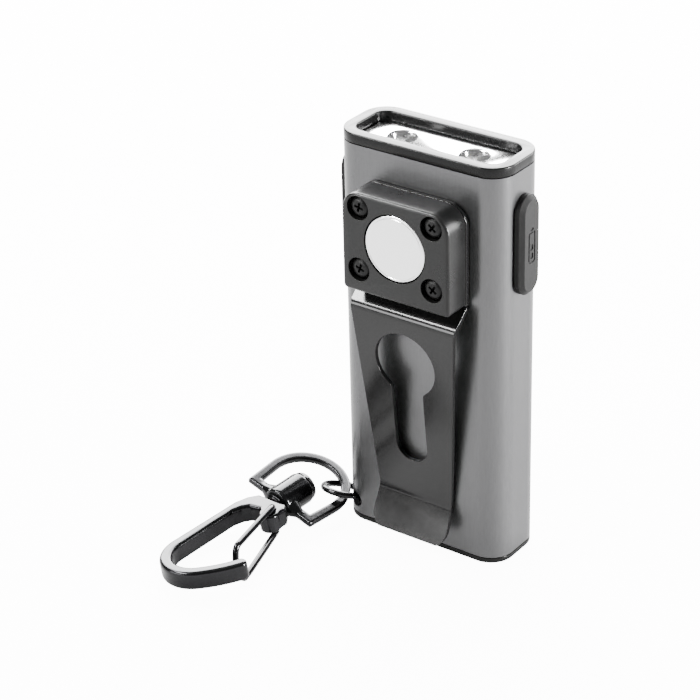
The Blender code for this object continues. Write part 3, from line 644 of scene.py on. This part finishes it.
def makeClipTongue():
    low, high = boxOf("clip_tongue")
    front = caseLow.y
    plateFront = boxOf("clip_plate")[0].y
    bend = front - clip["bendOut"]
    kink = front - clip["sheet"] - 0.12
    line = [(plateFront, high.z), (plateFront - 0.3, high.z - 0.35), (bend, clip["bendZ"] - 0.1),
            (kink, clip["kinkZ"]), (front - clip["lipOut"], clip["lipZ"])]
    half = clip["bendHalf"] + 0.15
    bm = sheetCut(sheetLine(line, clip["sheet"]), -half, half, "X")
    bends = [edge for edge in edgesAlong(bm, "X")
             if clip["bendZ"] - 2.5 < edge.verts[0].co.z < clip["bendZ"] + 1
             or abs(edge.verts[0].co.z - clip["kinkZ"]) < 1.2]
    roundOff(bm, bends, 0.75, 6)
    lip = clip["kinkHalf"] + 0.15
    mask = [(-half - 1, high.z + 1), (-clip["bendHalf"], clip["bendZ"]),
            (-clip["kinkHalf"], clip["kinkZ"]), (-lip, clip["kinkZ"] - 3.0)]
    mask += arcPoints(-lip + clip["lipRadius"], clip["lipZ"] + clip["lipRadius"] - 0.3,
                      clip["lipRadius"], 180, 270, 12)
    outline = mask + [(-x, z) for x, z in mask[::-1]]
    bm = combine(bm, sheetCut(outline, low.y - 4, high.y + 4, "Y"), "INTERSECT")
    side = clip["slotHalf"] + clip["fillet"]  # fillets that meet the round part and the slot
    drop = (clip["keyRadius"] + clip["fillet"]) ** 2 - side ** 2
    lowZ = clip["keyZ"] - drop ** 0.5
    lean = degrees(acos(side / (clip["keyRadius"] + clip["fillet"])))
    key = arcPoints(0, clip["keyZ"], clip["keyRadius"], -lean, 180 + lean, 48)
    key += arcPoints(-side, lowZ, clip["fillet"], lean, 0, 6)[1:]
    key += arcPoints(0, clip["slotZ"], clip["slotHalf"], 180, 360, 24)
    key += arcPoints(side, lowZ, clip["fillet"], 180, 180 - lean, 6)[:-1]
    bm = combine(bm, sheetCut(key, low.y - 4, high.y + 4, "Y"))
    finishPiece("clipTongue", bm, "clip", finishes["blackSteel"], ["clip_tongue"], 0.13, 3)


makeClipPlate()
makeClipTongue()
print("belt clip made")

# rubber flap and button


def makeFlap():
    flap = {"width": 4.8, "height": 15.2, "chamfer": 0.62, "neck": (3.0, 12.2), "neckDepth": 1.05,
            "plug": (1.3, 6.0), "plugDepth": 2.5, "mark": 0.14}
    high = boxOf("usb_flap")[1]
    inner = caseHigh.x + body["gap"]
    bm = sidePad(inner, high.x, flap["width"], flap["height"], (0, sideZ), 14)
    roundOff(bm, edgesAt(bm, "X", high.x), flap["chamfer"], 1)
    bm = combine(bm, sidePad(inner - flap["neckDepth"], inner + 0.4, *flap["neck"], (0, sideZ)),
                 "UNION")
    bm = combine(bm, sidePad(inner - flap["plugDepth"], inner - 0.5, *flap["plug"],
                             (-0.1, sideZ)), "UNION")
    face, deep = high.x + 0.5, high.x - flap["mark"]  # a small battery outline, sunk in the face
    outline = slab((deep, -0.85, sideZ - 2.6), (face, 0.85, sideZ + 2.2), "X", 0.4, 5)
    outline = combine(outline, slab((deep - 1, -0.6, sideZ - 2.35), (face + 1, 0.6, sideZ + 1.95),
                                    "X", 0.25, 4))
    bm = combine(bm, outline)
    bm = combine(bm, slab((deep, -0.4, sideZ + 2.35), (face, 0.4, sideZ + 2.75), "X", 0.15, 4))
    for level in range(2):
        z = sideZ - 1.95 + level * 1.3
        bm = combine(bm, slab((deep, -0.35, z), (face, 0.35, z + 0.85), "X", 0.12, 3))
    finishPiece("chargingFlap", bm, "flap", finishes["rubber"], ["usb_flap"], 0.1, 2, 25)


def makeButton():
    pad = {"width": 4.8, "height": 15.2, "chamfer": 0.22, "flange": (5.6, 16.2), "dish": 1.5,
           "lap": 0.15}
    low, high = boxOf("power_button")
    bm = sidePad(low.x, high.x - pad["lap"], pad["width"], pad["height"], (0, sideZ), 14)
    roundOff(bm, edgesAt(bm, "X", low.x), pad["chamfer"], 3)
    bm = combine(bm, sidePad(high.x - 2 * pad["lap"], high.x, *pad["flange"], (0, sideZ)), "UNION")
    bm = combine(bm, rod((low.x - 0.5, 0, sideZ), (low.x + 0.18, 0, sideZ), pad["dish"] + 0.5,
                         pad["dish"], 48))
    finishPiece("powerButton", bm, "button", finishes["rubber"], ["power_button"])


makeFlap()
makeButton()
print("flap and button made")

# key ring hardware

swivelSpot = Vector(joints["hook_swivel"]["pos_m"]) / mm
swivelAxis = Vector(joints["hook_swivel"]["axis"]).normalized()
hookUp = -Vector(joints["gate_open"]["axis"]).normalized()
hookSide = swivelAxis.cross(hookUp).normalized()


def hookFrame(roll=0.0):  # X to the hook's open side, Y along the swivel pin, Z up through it
    turn = Matrix((hookSide, swivelAxis, hookUp)).transposed().to_4x4()
    return Matrix.Translation(swivelSpot) @ turn @ Matrix.Rotation(radians(roll), 4, "Y")


def place(bm, matrix):
    bmesh.ops.transform(bm, matrix=matrix, verts=bm.verts)
    return bm


def makeJumpRing():
    ring = {"radius": 3.1, "wire": 0.5, "tilt": 20.0}
    bm = bmesh.new()
    bmesh.ops.create_circle(bm, cap_ends=False, segments=20, radius=ring["wire"])
    bmesh.ops.rotate(bm, cent=(0, 0, 0), matrix=Matrix.Rotation(radians(90), 3, "X"),
                     verts=bm.verts)
    bmesh.ops.translate(bm, vec=(ring["radius"], 0, 0), verts=bm.verts)
    bmesh.ops.spin(bm, geom=bm.verts[:] + bm.edges[:], cent=(0, 0, 0), axis=(0, 0, 1),
                   angle=2 * pi, steps=96, use_merge=True)
    bmesh.ops.recalc_face_normals(bm, faces=bm.faces)
    spot = middleOf("jump_ring")
    place(bm, Matrix.Translation(spot) @ Matrix.Rotation(-radians(ring["tilt"]), 4, "X"))
    finishPiece("jumpRing", bm, "ring", finishes["blackNickel"], ["jump_ring"], sharp=60)


def makeDRing():
    dee = {"roll": 19.0, "half": 6.5, "radius": 6.9, "centre": 5.1, "bar": 1.5, "thick": 1.1,
           "edge": 0.32, "barrel": 2.5, "barrelOut": 1.3, "barrelIn": 4.4, "swell": 2.0,
           "swellHalf": 4.6, "bore": 1.0}

    def outline(inset):  # a straight bar, then tangents from its ends to a round arch
        half, low, radius = dee["half"] - inset, -dee["bar"] / 2 + inset, dee["radius"] - inset
        dx, dy = half, low - dee["centre"]
        start = atan2(dy, dx) + acos(min(1.0, radius / hypot(dx, dy)))
        points = [(-half, low), (half, low)]
        for i in range(61):
            a = start + (pi - 2 * start) * i / 60
            points.append((radius * cos(a), dee["centre"] + radius * sin(a)))
        return points

    half = dee["thick"] / 2
    bm = sheetCut(outline(0), -half, half)
    bm = combine(bm, sheetCut(outline(dee["bar"]), -half - 1, half + 1))
    roundOff(bm, edgesAt(bm, "Z", half) + edgesAt(bm, "Z", -half), dee["edge"], 3)
    r, out, deep = dee["barrel"], dee["barrelOut"], dee["barrelIn"]
    barrel = lathe([(0, -out), (r - 0.45, -out), (r - 0.12, -out + 0.15), (r, -out + 0.5),
                    (r, deep - 0.3), (r - 0.1, deep - 0.08), (r - 0.3, deep), (0, deep)],
                   (0, 0, 0), (0, 1, 0), 56)
    bm = combine(bm, barrel, "UNION")
    span = dee["swellHalf"]
    swell = [(0, -span)]
    for i in range(25):
        x = -span + 2 * span * i / 24
        share = 0.5 + 0.5 * cos(pi * x / span)
        swell.append((half * 0.96 + (dee["swell"] - half) * share ** 0.8, x))
    bm = combine(bm, lathe(swell + [(0, span)], (0, 0, 0), (1, 0, 0), 40), "UNION")
    bm = combine(bm, rod((0, -out - 1, 0), (0, deep + 1, 0), dee["bore"], steps=48))
    bm = castSmooth(bm, 0.1, 4)
    place(bm, hookFrame(dee["roll"]))
    finishPiece("deeRing", bm, "d_ring", finishes["blackNickel"], ["d_ring"], sharp=50)


def makeSwivelPin():
    pin = {"shank": 0.9, "head": 2.3, "rise": 0.9, "start": -3.5, "gap": 0.1}
    seat = 4.4 + pin["gap"]
    r, top = pin["head"], 4.4 + pin["rise"]
    profile = [(0, pin["start"]), (pin["shank"] - 0.1, pin["start"]),
               (pin["shank"], pin["start"] + 0.1), (pin["shank"], seat), (r - 0.1, seat),
               (r, seat + 0.12), (r - 0.02, seat + 0.35), (r - 0.18, top - 0.12),
               (r - 0.42, top), (1.25, top), (1.1, top - 0.1), (0.55, top - 0.12), (0, top - 0.05)]
    bm = place(lathe(profile, (0, 0, 0), (0, 1, 0), 56), hookFrame())
    finishPiece("swivelPin", bm, "hook", finishes["blackNickel"], ["swivel_pin"], sharp=40)


def makeHook():
    hook = {"half": 1.5, "bar": 1.9, "centre": (0.8, -18.4), "radius": 5.75, "flare": 20.0,
            "join": 312, "end": 332, "edge": 0.52, "pivot": (2.4, -4.2), "pivotHole": 0.6,
            "seat": 1.0}
    (cx, cy), radius, bar, flare = hook["centre"], hook["radius"], hook["bar"], hook["flare"]
    join, end = hook["join"], hook["end"]
    fx = cx + (radius - flare) * cos(radians(join))
    fy = cy + (radius - flare) * sin(radians(join))
    head = [(-2.6, -2.0), (3.0, -2.0), (3.8, -3.0), (3.8, -5.6), (3.2, -6.3), (1.6, -6.3)]
    head += [(0.2, -4.9), (-1.6, -5.2), (-2.4, -6.1), (-2.92, -7.6)]
    inner = arcPoints(cx, cy, radius - bar, 180, join, 28)
    inner += arcPoints(fx, fy, flare - bar, join, end, 12)[1:-1]
    tipX = fx + (flare - bar / 2) * cos(radians(end))
    tipY = fy + (flare - bar / 2) * sin(radians(end))
    tip = arcPoints(tipX, tipY, bar / 2, end - 180, end - 360, 10)
    back = arcPoints(fx, fy, flare, end, join, 12)[1:]
    back += arcPoints(cx, cy, radius, join, 180, 32)[1:]
    outline = head + inner + tip + back + [(-4.5, -5.6), (-3.8, -3.4)]
    bm = sheetCut(outline, -hook["half"], hook["half"])
    roundOff(bm, edgesAt(bm, "Z", hook["half"]) + edgesAt(bm, "Z", -hook["half"]), hook["edge"], 3)
    px, py = hook["pivot"]
    drum = lathe([(0, -1.5), (1.35, -1.5), (1.6, -1.25), (1.6, 1.25), (1.35, 1.5), (0, 1.5)],
                 (px - 0.1, py - 0.75, 0), (0, 0, 1), 40)
    bm = combine(bm, drum, "UNION")
    bm = castSmooth(bm, 0.1, 3)
    bm = combine(bm, rod((px, py, -4), (px, py, 4), hook["pivotHole"], steps=32))
    bm = combine(bm, rod((0, -3.6, 0), (0, 0, 0), hook["seat"], steps=40))
    place(bm, hookFrame())
    finishPiece("snapHook", bm, "hook", finishes["blackNickel"], ["snap_hook"], sharp=50)


def smoothRoute(points, steps):  # a smooth curve through the points, for bent wire
    points = [Vector(p) for p in points]
    ends = [2 * points[0] - points[1]] + points + [2 * points[-1] - points[-2]]
    route = []
    for a, b, c, d in zip(ends, ends[1:], ends[2:], ends[3:]):
        for i in range(steps):
            t = i / steps
            route.append(0.5 * (2 * b + (c - a) * t + (2 * a - 5 * b + 4 * c - d) * t ** 2
                                + (3 * b - 3 * c + d - a) * t ** 3))
    return route + [points[-1]]


def makeGate():
    gate = {"wire": 0.5, "pivot": (2.4, -4.2), "leg": 2.15, "elbow": 0.25}
    (px, py), leg, elbow = gate["pivot"], gate["leg"], gate["elbow"]
    route = [(px + elbow, py - elbow, leg), (5.1, -13.0, leg), (5.6, -14.9, leg * 0.9),
             (5.65, -15.5, leg * 0.2), (5.6, -15.7, -leg * 0.7), (6.2, -16.1, -leg),
             (7.0, -15.9, -leg), (7.1, -15.0, -leg), (px + elbow, py - elbow, -leg)]
    points = [Vector((px, py, 0.4)), Vector((px, py, leg - 0.2))] + smoothRoute(route, 10)
    points += [Vector((px, py, -leg + 0.2)), Vector((px, py, -0.4))]
    curve = bpy.data.curves.new("gateWire", "CURVE")
    curve.dimensions = "3D"
    curve.bevel_depth = gate["wire"]
    curve.bevel_resolution = 5
    curve.use_fill_caps = True
    spline = curve.splines.new("POLY")
    spline.points.add(len(points) - 1)
    for point, spot in zip(spline.points, points):
        point.co = (*(hookFrame() @ spot), 1)
    holder = bpy.data.objects.new("gateWire", curve)
    bpy.context.scene.collection.objects.link(holder)
    bm = shownShape(holder)
    bpy.data.objects.remove(holder, do_unlink=True)
    bpy.data.curves.remove(curve)
    bmesh.ops.remove_doubles(bm, verts=bm.verts, dist=mergeGap)
    bmesh.ops.recalc_face_normals(bm, faces=bm.faces)
    finishPiece("wireGate", bm, "gate", finishes["blackNickel"], ["wire_gate"], sharp=60)


makeJumpRing()
makeDRing()
makeSwivelPin()
makeHook()
makeGate()
print("key ring hardware made")

# parts kept as they are

keptParts = {"led_board": "whiteBoard", "main_board": "board", "battery_cell": "foil",
             "inner_carrier": "greyPlastic", "nut_plate": "zinc", "usb_socket": "zinc",
             "tact_switch": "greyPlastic"}
for node, finish in keptParts.items():
    part = frame["nodes"][node]
    part.data.materials.clear()
    part.data.materials.append(finishes[finish])
print("kept parts finished:", len(keptParts))

# floor, light and camera


studio = {"floorGlow": 0.7, "floorShown": 12.0, "world": 0.2}
softboxes = {  # azimuth, elevation, distance, width, height and watts
    "backLight": (-144, 34, 0.6, 0.75, 0.4, 44.0),
    "keyLight": (-48, 46, 0.6, 0.35, 0.05, 9.0),
    "lipLight": (-32, 12, 0.6, 0.4, 0.12, 3.0),
    "cornerStrip": (100, 4, 0.5, 0.05, 0.3, 20.0),
    "sideFill": (143, 6, 0.6, 0.3, 0.3, 12.0),
    "overhead": (0, 88, 0.9, 0.6, 0.6, 1.0),
}


def makeFloor():  # near white to the camera, gentler in reflections and bounced light
    bm = bmesh.new()
    bmesh.ops.create_grid(bm, x_segments=1, y_segments=1, size=3.0)
    mesh = bpy.data.meshes.new("floor")
    bm.to_mesh(mesh)
    bm.free()
    floor = bpy.data.objects.new("floor", mesh)
    bpy.context.scene.collection.objects.link(floor)
    mat = bpy.data.materials.new("paleFloor")
    mat.use_nodes = True
    tree = mat.node_tree
    shader = tree.nodes["Principled BSDF"]
    shader.inputs["Base Color"].default_value = grey(0.25)
    shader.inputs["Roughness"].default_value = 0.8
    shader.inputs["Specular IOR Level"].default_value = 0.1
    shader.inputs["Emission Color"].default_value = grey(1.0)
    path = tree.nodes.new("ShaderNodeLightPath")
    glow = mapTo(tree, path.outputs["Is Camera Ray"], 0.0, 1.0, studio["floorGlow"],
                 studio["floorShown"])
    tree.links.new(glow, shader.inputs["Emission Strength"])
    mesh.materials.append(mat)


def direction(azimuth, elevation):  # azimuth 0 is straight in front, 90 is the flap's side
    a, e = radians(azimuth), radians(elevation)
    return Vector((sin(a) * cos(e), -cos(a) * cos(e), sin(e)))


def makeLights():
    for name, (azimuth, elevation, distance, width, height, watts) in softboxes.items():
        lamp = bpy.data.lights.new(name, "AREA")
        lamp.shape = "RECTANGLE"
        lamp.size = width
        lamp.size_y = height
        lamp.energy = watts
        holder = bpy.data.objects.new(name, lamp)
        bpy.context.scene.collection.objects.link(holder)
        away = direction(azimuth, elevation)
        holder.location = away * distance + Vector((0, 0, 0.03))
        holder.rotation_euler = away.to_track_quat("Z", "Y").to_euler()
    world = bpy.data.worlds.new("studio")
    world.use_nodes = True
    world.node_tree.nodes["Background"].inputs["Color"].default_value = grey(1.0)
    world.node_tree.nodes["Background"].inputs["Strength"].default_value = studio["world"]
    bpy.context.scene.world = world


def makeCamera():
    view = {"place": (0.177653, -0.261967, 0.200973), "azimuth": 36.5, "elevation": 28.376,
            "roll": -1.483, "lens": 127.23}
    back = direction(view["azimuth"], view["elevation"])
    right = Vector((0, 0, 1)).cross(back).normalized()
    up = back.cross(right)
    roll = radians(view["roll"])
    side = right * cos(roll) + up * sin(roll)
    top = up * cos(roll) - right * sin(roll)
    camera = bpy.data.objects.new("camera", bpy.data.cameras.new("camera"))
    camera.data.lens = view["lens"]
    camera.data.sensor_width = 36.0
    camera.data.clip_start = 0.01
    bpy.context.scene.collection.objects.link(camera)
    turn = Matrix((side, top, back)).transposed().to_4x4()
    camera.matrix_world = Matrix.Translation(Vector(view["place"])) @ turn
    bpy.context.scene.camera = camera


makeFloor()
makeLights()
makeCamera()
print("floor, light and camera set")
